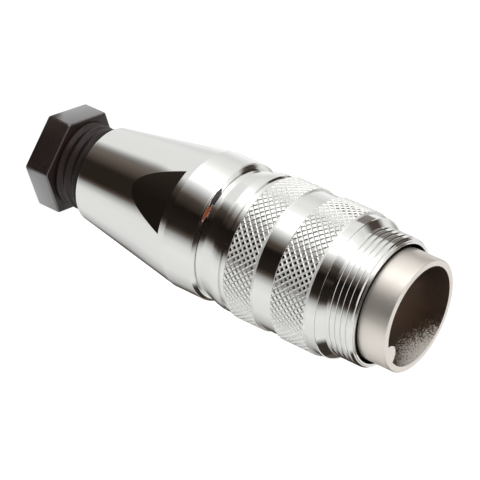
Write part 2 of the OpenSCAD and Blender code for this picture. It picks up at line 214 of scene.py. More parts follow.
class Finishes(bpy.types.PropertyGroup):
    """Colours of the connector's finishes."""

    bright_nickel: tint("Bright nickel", "Polished nickel plate", "#dededb")
    # Painted light: lighter than the polished plate, for the light that the knurl's frosted grooves catch
    frosted_lit_nickel: tint("Frosted nickel", "Plate in the knurl's grooves", "#f2f2ef")
    satin_nickel: tint("Satin nickel", "Dull nickel plate of the tube", "#d9d3cb")
    # Painted shade: the brownish dark inside the socket, the ring's bore and the gap
    painted_shade_nickel: tint("Painted-shade nickel", "Darkened plate in the socket", "#7f6e63")
    bare_brass: tint("Bare brass", "Turned brass inside", "#c79a55")
    copper: tint("Copper", "Copper under-plate where the nickel is worn off", "#5c2b17")
    # Painted shade: near-black where the gap between housing and ring shows beside the worn spot
    gap_shade: tint("Gap shade", "Blackened metal in the nick beside it", "#120d0b")
    gold: tint("Gold", "Gold plate of the contact", "#e3bd6c")
    black_nylon: tint("Black nylon", "Moulded gland nut", "#150d0b")
    natural_nylon: tint("Natural nylon", "Cage and slip washer", "#e3ddcf")
    dielectric: tint("Dielectric", "White insulators", "#efece4")
    rubber: tint("Rubber", "Seals", "#1d1c1b")


class StudioSettings(bpy.types.PropertyGroup):
    """Camera and light of the studio."""

    lens: bpy.props.FloatProperty(
        name="Lens", description="Focal length in millimetres on a 36 mm sensor", default=165.0, min=20.0,
    )
    camera_place: bpy.props.FloatVectorProperty(
        name="Camera", description="Place of the camera", size=3, default=(0.00335, -0.2269, 0.1583),
        subtype="TRANSLATION", unit="LENGTH",
    )
    target: bpy.props.FloatVectorProperty(
        name="Target", description="Point in the middle of the picture", size=3, default=(0.00058, 0.0, 0.0286),
        subtype="TRANSLATION", unit="LENGTH",
    )
    roll: bpy.props.FloatProperty(
        name="Roll", description="Turn of the camera about its view, which lays the connector down",
        default=math.radians(114.6), subtype="ANGLE", unit="ROTATION",
    )
    floor: tint("Floor", "Plain pale floor", "#fafafa")


class ConnectorSettings(bpy.types.PropertyGroup):
    """All settings of the connector, as the panel shows them."""

    nut: bpy.props.PointerProperty(type=NutSizes)
    housing: bpy.props.PointerProperty(type=HousingSizes)
    ring: bpy.props.PointerProperty(type=RingSizes)
    tube: bpy.props.PointerProperty(type=TubeSizes)
    finishes: bpy.props.PointerProperty(type=Finishes)
    studio: bpy.props.PointerProperty(type=StudioSettings)


# Modelling steps

def only(piece):
    """Select one object alone and make it active."""
    bpy.ops.object.select_all(action="DESELECT")
    piece.select_set(True)
    bpy.context.view_layer.objects.active = piece


def new_piece(name):
    """Name the object that an operator has just added."""
    piece = bpy.context.object
    piece.name = piece.data.name = name
    return piece


def draw_outline(name, points):
    """An outline of (radius, height) points drawn in the XZ plane, by extruding one vertex along it."""
    bpy.ops.object.select_all(action="DESELECT")
    bpy.ops.mesh.primitive_plane_add(size=MM)
    piece = new_piece(name)
    corners = [Vector((radius, 0, height)) for radius, height in points]
    bpy.ops.object.mode_set(mode="EDIT")
    bpy.ops.mesh.merge(type="CENTER")
    bpy.ops.transform.translate(value=corners[0])
    for here, there in zip(corners, corners[1:]):
        bpy.ops.mesh.extrude_vertices_move(TRANSFORM_OT_translate={"value": there - here})
    bpy.ops.object.mode_set(mode="OBJECT")
    return piece


def turned(name, points, steps=TURN_STEPS):
    """A turned solid: its closed outline of (radius, height) points spun about the axis."""
    piece = draw_outline(name, points + points[:1])
    bpy.ops.object.mode_set(mode="EDIT")
    bpy.ops.mesh.select_all(action="SELECT")
    bpy.ops.mesh.remove_doubles(threshold=0.001 * MM)
    bpy.ops.mesh.select_all(action="SELECT")
    bpy.ops.mesh.spin(steps=steps, angle=math.tau, center=(0, 0, 0), axis=(0, 0, 1))
    bpy.ops.object.mode_set(mode="OBJECT")
    close_up(piece)
    return piece


def close_up(piece, threshold=0.001 * MM):
    """Merge a mesh's doubles and turn its faces outwards, in and out of edit mode."""
    only(piece)
    bpy.ops.object.mode_set(mode="EDIT")
    bpy.ops.mesh.select_all(action="SELECT")
    bpy.ops.mesh.remove_doubles(threshold=threshold)
    bpy.ops.mesh.normals_make_consistent(inside=False)
    bpy.ops.object.mode_set(mode="OBJECT")


def arc(radius, height, bend, start, end, steps=6):
    """Outline points of a rounding about (radius, height), from one angle in degrees to another."""
    angles = [math.radians(start + (end - start) * i / steps) for i in range(steps + 1)]
    return [(radius + bend * math.cos(a), height + bend * math.sin(a)) for a in angles]


def combine(piece, tool, operation):
    """Cut, join or intersect a solid with a tool solid, which is used up."""
    only(piece)
    bpy.ops.object.modifier_add(type="BOOLEAN")
    boolean = piece.modifiers[-1]
    boolean.operation = operation
    boolean.object = tool
    bpy.ops.object.modifier_apply(modifier=boolean.name)
    bpy.data.objects.remove(tool)
    if not piece.data.polygons:
        raise RuntimeError(f"{piece.name}: nothing is left after {operation.lower()}")
    return piece


def trim(piece, bottom, top):
    """Cut a rod square at two heights and close its ends."""
    only(piece)
    bpy.ops.object.mode_set(mode="EDIT")
    for height, inner in ((bottom, True), (top, False)):
        bpy.ops.mesh.select_all(action="SELECT")
        bpy.ops.mesh.bisect(
            plane_co=(0, 0, height), plane_no=(0, 0, 1), use_fill=True, clear_inner=inner, clear_outer=not inner,
        )
    bpy.ops.object.mode_set(mode="OBJECT")
    close_up(piece)


def join(piece, *others):
    """Make one object of several."""
    only(piece)
    for other in others:
        other.select_set(True)
    bpy.ops.object.join()
    return piece


def threaded_rod(name, tooth, pitch, bottom, top):
    """A right-handed threaded rod: an outline of many teeth screwed once round the axis by one pitch."""
    teeth = math.ceil((top - bottom) / pitch) + 3
    points = [
        (radius, bottom + (i - 2 + share) * pitch) for i in range(teeth) for radius, share in tooth
    ]
    rod = draw_outline(name, points)
    bpy.ops.object.modifier_add(type="SCREW")
    screw = rod.modifiers[-1]
    screw.axis = "Z"
    screw.angle = math.tau
    screw.screw_offset = pitch
    screw.steps = screw.render_steps = TURN_STEPS
    bpy.ops.object.modifier_apply(modifier=screw.name)
    close_up(rod)
    trim(rod, bottom, top)
    return rod


def knurled_rod(name, sizes, crest, bottom, top):
    """A rod covered with flat-topped diamonds: one diamond copied up the band and round the axis."""
    step = math.tau / sizes.knurl_count
    half_height = sizes.knurl_pitch / 2
    valley = crest - sizes.knurl_depth
    rows = math.ceil((top - bottom) / sizes.knurl_pitch) + 2
    bpy.ops.object.select_all(action="DESELECT")
    bpy.ops.mesh.primitive_cone_add(
        vertices=4, radius1=1, radius2=sizes.knurl_top, depth=sizes.knurl_depth,
        location=((crest + valley) / 2, 0, bottom - half_height), rotation=(0, math.pi / 2, 0),
        scale=(half_height, valley * math.tan(step / 2), 1),
    )
    rod = new_piece(name)
    bpy.ops.object.transform_apply(location=True, rotation=True, scale=True)
    bpy.ops.object.mode_set(mode="EDIT")
    mesh = bmesh.from_edit_mesh(rod.data)
    for face in mesh.faces:
        face.select_set(face.normal.x < -0.9)
    bmesh.update_edit_mesh(rod.data)
    bpy.ops.mesh.delete(type="ONLY_FACE")
    bpy.ops.mesh.select_all(action="SELECT")
    bpy.ops.mesh.duplicate_move(TRANSFORM_OT_translate={"value": (0, 0, half_height)})
    bpy.ops.transform.rotate(value=-step / 2, orient_axis="Z", center_override=(0, 0, 0))
    bpy.ops.mesh.select_all(action="SELECT")
    for _ in range(rows):
        bpy.ops.mesh.duplicate_move(TRANSFORM_OT_translate={"value": (0, 0, sizes.knurl_pitch)})
    bpy.ops.mesh.select_all(action="SELECT")
    bpy.ops.mesh.spin(
        steps=sizes.knurl_count - 1, angle=math.tau - step, center=(0, 0, 0), axis=(0, 0, 1), dupli=True,
    )
    bpy.ops.object.mode_set(mode="OBJECT")
    close_up(rod, threshold=0.03 * MM)
    trim(rod, bottom, top)
    return rod


def knurl_band(name, sizes, crest, bottom, top):
    """A knurled sleeve with chamfered ends, rooted in the ring below it."""
    root = sizes.smooth_radius - 0.3 * MM
    rise = crest - sizes.smooth_radius
    band = turned(name, [
        (root, bottom), (sizes.smooth_radius, bottom), (crest + OVER, bottom + rise + OVER),
        (crest + OVER, top - rise - OVER), (sizes.smooth_radius, top), (root, top),
    ])
    return combine(band, knurled_rod(name + "_rod", sizes, crest, bottom - OVER, top + OVER), "INTERSECT")


def shade(piece, angle):
    """Smooth the shading, with sharp edges above an angle in degrees."""
    only(piece)
    bpy.ops.object.shade_smooth_by_angle(angle=math.radians(angle))


def dress(piece, body, node, slot, *materials):
    """Give a finished piece its materials and its body, and hide the CAD node that it stands for."""
    piece.data.materials.clear()
    for material in materials:
        piece.data.materials.append(material)
    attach(piece, body)
    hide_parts(node)


# Materials

def add_node(tree, kind, inputs=None, **settings):
    """Add a shader node with its settings, and set or link its inputs by name or number."""
    made = tree.nodes.new(kind)
    for name, value in settings.items():
        setattr(made, name, value)
    for key, value in (inputs or {}).items():
        if isinstance(value, bpy.types.NodeSocket):
            tree.links.new(value, made.inputs[key])
        else:
            made.inputs[key].default_value = value
    return made


def compute(tree, operation, *values):
    """Result of one step of arithmetic on sockets or numbers."""
    return add_node(tree, "ShaderNodeMath", dict(enumerate(values)), operation=operation).outputs[0]


def remap(tree, value, start, end, low=0.0, high=1.0):
    """A value carried over from one range to another, and held beyond its ends."""
    return add_node(tree, "ShaderNodeMapRange", {
        "Value": value, "From Min": start, "From Max": end, "To Min": low, "To Max": high,
    }).outputs[0]


def along(tree, place, direction):
    """How far a place lies along a direction."""
    return add_node(tree, "ShaderNodeVectorMath", {0: place, 1: direction}, operation="DOT_PRODUCT").outputs["Value"]


def distance(tree, place):
    """Distance of a place from the origin."""
    return add_node(tree, "ShaderNodeVectorMath", {0: place}, operation="LENGTH").outputs["Value"]


def mix(tree, share, first, second):
    """Two numbers mixed by the share of the second."""
    return add_node(tree, "ShaderNodeMix", {0: share, 2: first, 3: second}).outputs[0]


def mix_colours(tree, share, first, second):
    """Two colours mixed by the share of the second."""
    return add_node(tree, "ShaderNodeMix", {0: share, 6: first, 7: second}, data_type="RGBA").outputs[2]


def mix_shaders(tree, share, first, second):
    """Two shaders mixed by the share of the second."""
    return add_node(tree, "ShaderNodeMixShader", {0: share, 1: first, 2: second}).outputs[0]


def noise(tree, place, feature, detail, roughness=0.5):
    """Noise with features of about this many millimetres, for coordinates in metres."""
    return add_node(tree, "ShaderNodeTexNoise", {
        "Vector": place, "Scale": 1 / (feature * MM), "Detail": detail, "Roughness": roughness,
    }).outputs["Fac"]


def turning_marks(tree, place, feature, roughness=0.5):
    """Rings round the axis, drawn coarser than the tool's feed so that they show."""
    stretched = add_node(tree, "ShaderNodeMapping", {"Vector": place, "Scale": (0.02, 0.02, 1.0)})
    return noise(tree, stretched.outputs[0], feature, 3.0, roughness)


def new_material(name, sockets):
    """A material with one Principled surface, its tree, its shader and the Object coordinates."""
    material = bpy.data.materials.new(name)
    material.use_nodes = True
    tree = material.node_tree
    shader = tree.nodes["Principled BSDF"]
    for key, value in sockets.items():
        shader.inputs[key].default_value = value
    place = add_node(tree, "ShaderNodeTexCoord").outputs["Object"]
    return material, tree, shader, place


def vary_roughness(tree, shader, clouds, smoothest, roughest):
    """Let a noise pattern vary how rough a surface is."""
    tree.links.new(remap(tree, clouds, 0.3, 0.7, smoothest, roughest), shader.inputs["Roughness"])


def add_relief(tree, shader, height, strength, depth):
    """Bump a surface by a height pattern of this depth in millimetres."""
    bump = add_node(tree, "ShaderNodeBump", {"Height": height, "Strength": strength, "Distance": depth * MM})
    tree.links.new(bump.outputs[0], shader.inputs["Normal"])


def nickel_plate(name, colour, lines, roughness):
    """Nickel plate over a fine turned finish: faint rings round the axis, and smears that dull it here and there."""
    material, tree, shader, place = new_material(name, {"Base Color": colour, "Metallic": 1.0, "Roughness": roughness})
    vary_roughness(tree, shader, noise(tree, place, 2.5, 4.0), roughness * 0.75, roughness * 1.3)
    add_relief(tree, shader, turning_marks(tree, place, lines, 0.6), 0.25, 0.003)
    return material


def wear_and_shade_spot(material, under, place, half_sizes):
    """Colour a ragged spot at a place on the piece, with its half sizes, all in metres: the metal under the plate where
    it is worn through, and near-black where it paints the shade of a gap.
    """
    tree = material.node_tree
    shader = tree.nodes["Principled BSDF"]
    plate = [
        shader.inputs[key].links[0].from_socket if shader.inputs[key].is_linked else shader.inputs[key].default_value
        for key in ("Base Color", "Metallic")
    ]
    where = add_node(tree, "ShaderNodeTexCoord").outputs["Object"]
    turn = math.atan2(place[1], place[0])
    spot = add_node(tree, "ShaderNodeMapping", {
        "Vector": where, "Location": place, "Rotation": (0, 0, turn), "Scale": half_sizes,
    }, vector_type="TEXTURE")
    edge = compute(tree, "MULTIPLY_ADD", noise(tree, where, 0.4, 3.0), 0.6, distance(tree, spot.outputs[0]))
    worn = remap(tree, edge, 1.15, 1.22, 1.0, 0.0)
    tree.links.new(mix_colours(tree, worn, plate[0], under), shader.inputs["Base Color"])
    # What shows is seen by its own colour more than by what it mirrors: dulled metal where the plate is worn, and the
    # painted shade of the gap
    tree.links.new(mix(tree, worn, plate[1], 0.2), shader.inputs["Metallic"])


def satin_nickel_plate():
    """Dull nickel plate on the tube: blurred, slightly warm reflections with a fine matt grain."""
    finishes = bpy.context.scene.connector.finishes
    material, tree, shader, place = new_material(
        "Satin nickel plate", {"Base Color": finishes.satin_nickel, "Metallic": 0.94, "Roughness": 0.4},
    )
    vary_roughness(tree, shader, noise(tree, place, 3.0, 3.0), 0.36, 0.46)
    add_relief(tree, shader, noise(tree, place, 0.18, 5.0), 0.3, 0.006)
    return material


def painted_shade_plate(name, lit_dust_cover):
    """Plate darkened as a painted shade on a rough brown wall, with light dusty specks on one side of the mouth that
    paint the light falling in.
    """
    finishes = bpy.context.scene.connector.finishes
    material, tree, shader, place = new_material(name, {"Metallic": 1.0, "Roughness": 0.45})
    specks = noise(tree, place, 0.16, 6.0)
    # Painted light falling into the mouth: just inside it, on one side, the painted shade gives way to light dusty
    # specks, and elsewhere it is whole
    toward_lit_dust = along(tree, place, (0.5, 0.6, 0.45))
    lit_dust = compute(tree, "ADD", specks, remap(tree, toward_lit_dust, 26.8 * MM, 29 * MM, NO_LIT_DUST, lit_dust_cover))
    in_shade, lit_by_mouth = 0.5, 0.7
    worn = add_node(tree, "ShaderNodeValToRGB", {"Fac": lit_dust})
    for element, position, colour in zip(
        worn.color_ramp.elements, (in_shade, lit_by_mouth), (finishes.painted_shade_nickel, finishes.satin_nickel),
    ):
        element.position, element.color = position, colour
    tree.links.new(worn.outputs[0], shader.inputs["Base Color"])
    # The lit specks are matt, so they are as light as what falls into the mouth, and don't mirror the dark inside
    tree.links.new(remap(tree, lit_dust, in_shade, lit_by_mouth, 1.0, 0.66), shader.inputs["Metallic"])
    add_relief(tree, shader, specks, 0.5, 0.02)
    return material


def moulded_plastic(name, colour, roughness, coat=0.0, ior=1.53):
    """Injection-moulded plastic: a soft sheen over the mould's fine grain."""
    material, tree, shader, place = new_material(name, {
        "Base Color": colour, "Roughness": roughness, "IOR": ior,
        "Coat Weight": coat, "Coat Roughness": roughness, "Coat IOR": ior,
    })
    vary_roughness(tree, shader, noise(tree, place, 2.0, 3.0), roughness * 0.85, roughness * 1.2)
    add_relief(tree, shader, noise(tree, place, 0.25, 4.0), 0.3, 0.01)
    return material


def turned_metal(name, colour, roughness):
    """Bare turned metal inside the connector: fine rings round the axis."""
    material, tree, shader, place = new_material(name, {"Base Color": colour, "Metallic": 1.0, "Roughness": roughness})
    add_relief(tree, shader, turning_marks(tree, place, 0.15), 0.4, 0.005)
    return material


# Pieces

class CONNECTOR_OT_gland_nut(bpy.types.Operator):
    """Model the moulded gland nut: hexagon head, ridged stem and cable hole"""

    bl_idname = "connector.gland_nut"
    bl_label = "Gland nut"

    def execute(self, context):
        sizes = context.scene.connector.nut
        low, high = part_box("gland_nut")
        across = high.y - low.y
        bpy.ops.object.select_all(action="DESELECT")
        bpy.ops.mesh.primitive_cylinder_add(
            vertices=6, radius=across / math.sqrt(3), depth=sizes.head_len,
            location=(0, 0, low.z + sizes.head_len / 2), rotation=(0, 0, math.pi / 6),
        )
        nut = new_piece("gland_nut_visual")
        bpy.ops.object.transform_apply(location=True, rotation=True, scale=True)
        bpy.ops.object.mode_set(mode="EDIT")
        bpy.ops.mesh.select_all(action="SELECT")
        bpy.ops.mesh.bevel(offset=sizes.edge_round, segments=4, affect="EDGES")
        bpy.ops.object.mode_set(mode="OBJECT")
        middle = sizes.stem_radius - sizes.ridge_depth / 2
        swing = sizes.ridge_depth / 2
        tooth = [(middle + swing * math.cos(math.tau * i / 10), i / 10) for i in range(10)]
        stem = threaded_rod("stem", tooth, sizes.ridge_pitch, low.z + sizes.head_len / 2, high.z)
        combine(nut, stem, "UNION")
        mouth = sizes.hole_radius + sizes.hole_round
        hole = turned("hole", [(0, low.z - OVER), (mouth, low.z - OVER)]
                      + arc(mouth, low.z + sizes.hole_round, sizes.hole_round, 270, 180)
                      + [(sizes.hole_radius, high.z + OVER), (0, high.z + OVER)])
        combine(nut, hole, "DIFFERENCE")
        shade(nut, 35)
        colour = context.scene.connector.finishes.black_nylon
        # The head mirrors more than bare nylon, a painted sheen from an index above nylon's, and the stem is a duller
        # copy of the same nylon that paints its shade
        dress(nut, "nut", "gland_nut", "black_nylon",
              moulded_plastic("Moulded black nylon", colour, 0.3, coat=1.0, ior=1.75),
              moulded_plastic("Moulded black nylon, dull", colour, 0.5, ior=1.4))
        for face in nut.data.polygons:
            face.material_index = 1 if face.center.z > low.z + sizes.head_len - 0.02 * MM else 0
        return {"FINISHED"}


class CONNECTOR_OT_housing(bpy.types.Operator):
    """Model the tapered housing with its two wrench flats"""

    bl_idname = "connector.housing"
    bl_label = "Housing"

    def execute(self, context):
        sizes = context.scene.connector.housing
        low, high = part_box("housing")
        front = high.x
        housing = turned("housing_visual", [(sizes.gland_bore, low.z)]
            + arc(sizes.rear_radius - sizes.rear_round, low.z + sizes.rear_round, sizes.rear_round, 270, 360)
            + [(front, high.z - sizes.band_len)]
            + arc(front - sizes.rim_round, high.z - sizes.rim_slope - sizes.rim_round * math.tan(math.pi / 8),
                  sizes.rim_round, 0, 45)
            + [
                (front - sizes.rim_slope, high.z), (sizes.counterbore, high.z),
                (sizes.counterbore, high.z - sizes.counterbore_depth),
                (sizes.shell_bore, high.z - sizes.counterbore_depth),
                (sizes.shell_bore, high.z - sizes.shell_depth), (sizes.gland_bore, high.z - sizes.shell_depth),
            ])
        for side in (-1, 1):
            bpy.ops.object.select_all(action="DESELECT")
            bpy.ops.mesh.primitive_cube_add(
                size=1, location=(0, side * (sizes.flats / 2 + front / 2), low.z + sizes.flat_len / 2 - OVER / 2),
                scale=(3 * front, front, sizes.flat_len + OVER),
            )
            combine(housing, new_piece("flat"), "DIFFERENCE")
        shade(housing, 8)
        finishes = context.scene.connector.finishes
        plate = nickel_plate("Bright nickel plate on turned brass", finishes.bright_nickel, 0.12, 0.11)
        # Worn spot on the front rim, on the side that faces the viewer, and beside it a near-black painted shade where
        # the gap to the ring shows
        rim_radius, below_rim, half_depth = 8.6 * MM, 0.12 * MM, 0.8 * MM
        for under, degrees, long, wide in ((finishes.copper, -95, 1.5, 0.16), (finishes.gap_shade, -108, 1.7, 0.2)):
            turn = math.radians(degrees)
            place = (rim_radius * math.cos(turn), rim_radius * math.sin(turn), high.z - below_rim)
            wear_and_shade_spot(plate, under, place, (half_depth, long * MM, wide * MM))
        dress(housing, "shell", "housing", "bright_nickel", plate)
        return {"FINISHED"}


class CONNECTOR_OT_coupling_ring(bpy.types.Operator):
    """Model the coupling ring: turned core, two knurl bands and the external thread"""

    bl_idname = "connector.coupling_ring"
    bl_label = "Coupling ring"

    def execute(self, context):
        sizes = context.scene.connector.ring
        low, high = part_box("coupling_ring")
        crest = high.x
        smooth = sizes.smooth_radius
        neck_top = low.z + sizes.neck_len
        swell_top = neck_top + sizes.swell_len
        land_top = swell_top + sizes.land_len
        rear = low.z + sizes.rear_knurl_at
        front = low.z + sizes.front_knurl_at
        taper_top = high.z - sizes.thread_len
        shoulder = taper_top - sizes.taper_len
        root = sizes.thread_radius - sizes.thread_depth
        # The core ends just below the thread's own faces
        sunk = 0.05 * MM
        core = root - sunk
        slope = sizes.taper_len / (smooth - sizes.shoulder_edge - sizes.thread_radius)
        # The swell is a slope between a hollow and a round bend, each bend a fifth of its length
        bend_len = sizes.swell_len / 5
        incline = math.atan2(smooth - sizes.neck_radius, sizes.swell_len)
        bend = bend_len / math.tan(incline / 2)
        sweep = math.degrees(incline)
        ring = turned("coupling_ring_visual", [
                (sizes.recess, low.z - sizes.rear_gap), (sizes.neck_radius, low.z - sizes.rear_gap),
            ]
            + arc(sizes.neck_radius + bend, neck_top - bend_len, bend, 180, 180 - sweep)
            + arc(smooth - bend, swell_top + bend_len, bend, -sweep, 0)
            + [
                (smooth, land_top), (smooth - sizes.runout_depth, land_top),
                (smooth - sizes.runout_depth, rear), (smooth - OVER / 2, rear),
                (smooth - OVER / 2, rear + sizes.rear_knurl_len), (smooth, rear + sizes.rear_knurl_len),
                (smooth, front), (smooth - OVER / 2, front),
                (smooth - OVER / 2, front + sizes.front_knurl_len), (smooth, front + sizes.front_knurl_len),
                (smooth, shoulder), (smooth - sizes.shoulder_edge, shoulder),
                (core, taper_top + (sizes.thread_radius - core) * slope), (core, high.z - sunk),
                (sizes.bore, high.z - sunk), (sizes.bore, high.z - sizes.bore_depth),
                (sizes.journal, high.z - sizes.bore_depth), (sizes.journal, low.z + sizes.recess_depth),
                (sizes.recess, low.z + sizes.recess_depth),
            ])
        bands = [
            knurl_band("rear_knurl", sizes, crest, rear, rear + sizes.rear_knurl_len),
            knurl_band("front_knurl", sizes, crest, front, front + sizes.front_knurl_len),
        ]
        chamfer = sizes.thread_chamfer
        thread = turned("thread", [
            (sizes.bore, taper_top - OVER / 2), (sizes.thread_radius + OVER, taper_top - OVER / 2),
            (sizes.thread_radius + OVER, high.z - chamfer - OVER), (sizes.thread_radius - chamfer, high.z),
            (sizes.bore, high.z),
        ])
        # Each crest has two narrow bevels that catch the light, at heights given as shares of the pitch
        edge = sizes.thread_radius - 0.045 * MM
        tooth = [(sizes.thread_radius, 0.0), (sizes.thread_radius, 0.52), (edge, 0.57), (root, 0.68), (root, 0.8),
                 (edge, 0.91), (sizes.thread_radius, 0.96)]
        helix = threaded_rod("helix", tooth, sizes.thread_pitch, taper_top - 0.9 * OVER, high.z + OVER)
        combine(thread, helix, "INTERSECT")
        join(ring, thread, *bands)
        shade(ring, 20)
        finishes = context.scene.connector.finishes
        # Painted light: the knurl's frosted grooves get a colour lighter than the polished plate
        dress(ring, "ring", "coupling_ring", "bright_nickel",
              nickel_plate("Bright nickel plate on the ring", finishes.bright_nickel, 0.15, 0.09),
              painted_shade_plate("Painted-shade nickel plate in the ring", NO_LIT_DUST),
              nickel_plate("Frosted nickel plate in the knurl's grooves", finishes.frosted_lit_nickel, 0.15, 0.48))
        # Painted shade darkens the bore, the knurl's flat tops are polished like the smooth bands, and its grooves are
        # frosted and painted lighter
        for face in ring.data.polygons:
            away, height = face.center.xy.length, face.center.z
            level = abs(face.normal.z) < 0.5
            knurled = rear < height < front + sizes.front_knurl_len and away > smooth + 0.005 * MM
            flat_top = face.normal.xy.dot(face.center.xy.normalized()) > 0.97
            face.material_index = 1 if away < sizes.bore + 0.01 * MM and level else 2 if knurled and not flat_top else 0
        return {"FINISHED"}


class CONNECTOR_OT_shield_tube(bpy.types.Operator):
    """Model the shield tube with its keyed socket"""

    bl_idname = "connector.shield_tube"
    bl_label = "Shield tube"

    def execute(self, context):
        sizes = context.scene.connector.tube
        low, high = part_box("shield_tube")
        ring_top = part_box("coupling_ring")[1].z
        flange_top = high.z - sizes.flange_front
        floor = high.z - sizes.socket_depth
        outline = [
            (sizes.insulator_bore, low.z), (sizes.spigot_radius, low.z),
            (sizes.spigot_radius, low.z + sizes.spigot_len), (sizes.journal_radius, low.z + sizes.spigot_len),
        ]
        for seal in ("housing_seal_ring", "ring_seal_ring"):
            seal_low, seal_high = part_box(seal)
            middle = (seal_low.z + seal_high.z) / 2
            bottom = sizes.journal_radius - sizes.groove_depth
            outline += [
                (sizes.journal_radius, middle - sizes.groove_width / 2), (bottom, middle - sizes.groove_width / 2),
                (bottom, middle + sizes.groove_width / 2), (sizes.journal_radius, middle + sizes.groove_width / 2),
            ]
        tube = turned("shield_tube_visual", outline + [
            (sizes.journal_radius, flange_top - sizes.flange_len), (high.x, flange_top - sizes.flange_len),
            (high.x, flange_top), (sizes.outer_radius, flange_top), (sizes.outer_radius, ring_top),
        ] + arc(sizes.outer_radius - sizes.rim_round, high.z - sizes.rim_round, sizes.rim_round, 0, 90) + [
            (sizes.lip_radius, high.z), (sizes.lip_radius, floor - sizes.lip_len),
            (sizes.insulator_bore, floor - sizes.lip_len),
        ])
        bpy.ops.object.select_all(action="DESELECT")
        bpy.ops.mesh.primitive_cylinder_add(
            vertices=TURN_STEPS, radius=sizes.socket_radius, depth=sizes.socket_depth + OVER,
            location=(0, 0, floor + (sizes.socket_depth + OVER) / 2),
        )
        socket = new_piece("socket")
        bpy.ops.object.transform_apply(location=True, rotation=True, scale=True)
        # The rib is part of a round bar that stands in the wall, so its sides run out square to the wall
        bar = (sizes.key_height ** 2 + (sizes.key_width / 2) ** 2) / (2 * sizes.key_height)
        reach = sizes.socket_radius - sizes.key_height + bar
        bpy.ops.object.select_all(action="DESELECT")
        bpy.ops.mesh.primitive_cylinder_add(
            vertices=64, radius=bar, depth=2 * sizes.socket_depth,
            location=(reach * math.cos(sizes.key_angle), reach * math.sin(sizes.key_angle), high.z),
        )
        key = new_piece("key")
        bpy.ops.object.transform_apply(location=True, rotation=True, scale=True)
        combine(socket, key, "DIFFERENCE")
        combine(tube, socket, "DIFFERENCE")
        shade(tube, 25)
        dress(tube, "shell", "shield_tube", "satin_nickel", satin_nickel_plate(),
              painted_shade_plate("Painted-shade nickel plate in the socket", LIT_DUST),
              painted_shade_plate("Painted-shade nickel plate in the gap", NO_LIT_DUST))
        # Painted shade lines the socket and the gap behind the ring's front face, and in the socket painted light lies
        # on dusty specks at one side of the mouth
        wall = sizes.outer_radius - 0.1 * MM
        for face in tube.data.polygons:
            away, height = face.center.xy.length, face.center.z
            inside = floor - OVER < height < (high.z - 0.02 * MM if away < wall else ring_top)
            face.material_index = (1 if away < wall else 2) if inside else 0
        return {"FINISHED"}


class CONNECTOR_OT_cable_seal(bpy.types.Operator):
    """Model the rubber cable seal on a mesh of its own; the real seal shortens as the gland nut is tightened"""

    bl_idname = "connector.cable_seal"
    bl_label = "Cable seal"

    def execute(self, context):
        low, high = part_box("cable_seal")
        hole = context.scene.connector.nut.hole_radius - 0.2 * MM
        edge = 0.3 * MM
        seal = turned("cable_seal_visual",
            arc(high.x - edge, low.z + edge, edge, -90, 0, 3) + arc(high.x - edge, high.z - edge, edge, 0, 90, 3)
            + [(hole, high.z), (hole, low.z)], 96)
        shade(seal, 35)
        colour = context.scene.connector.finishes.rubber
        dress(seal, "shell", "cable_seal", "black_rubber", moulded_plastic("Moulded black rubber", colour, 0.6))
        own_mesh(seal)
        return {"FINISHED"}


class CONNECTOR_OT_inner_parts(bpy.types.Operator):
    """Give the CAD parts inside the connector their materials"""

    bl_idname = "connector.inner_parts"
    bl_label = "Inner parts"

    def execute(self, context):
        finishes = context.scene.connector.finishes
        by_slot = {
            "bare_brass": turned_metal("Turned brass", finishes.bare_brass, 0.28),
            "gold_contact": turned_metal("Gold plate", finishes.gold, 0.18),
            "natural_nylon": moulded_plastic("Moulded natural nylon", finishes.natural_nylon, 0.4),
            "white_dielectric": moulded_plastic("Turned white dielectric", finishes.dielectric, 0.5),
            "black_rubber": moulded_plastic("Moulded rubber rings", finishes.rubber, 0.55),
        }
        for part in frame["record"]["subparts"]:
            if part["material_slot"] in by_slot:
                mesh = frame["nodes"][part["node"]].data
                mesh.materials.clear()
                mesh.materials.append(by_slot[part["material_slot"]])
        return {"FINISHED"}


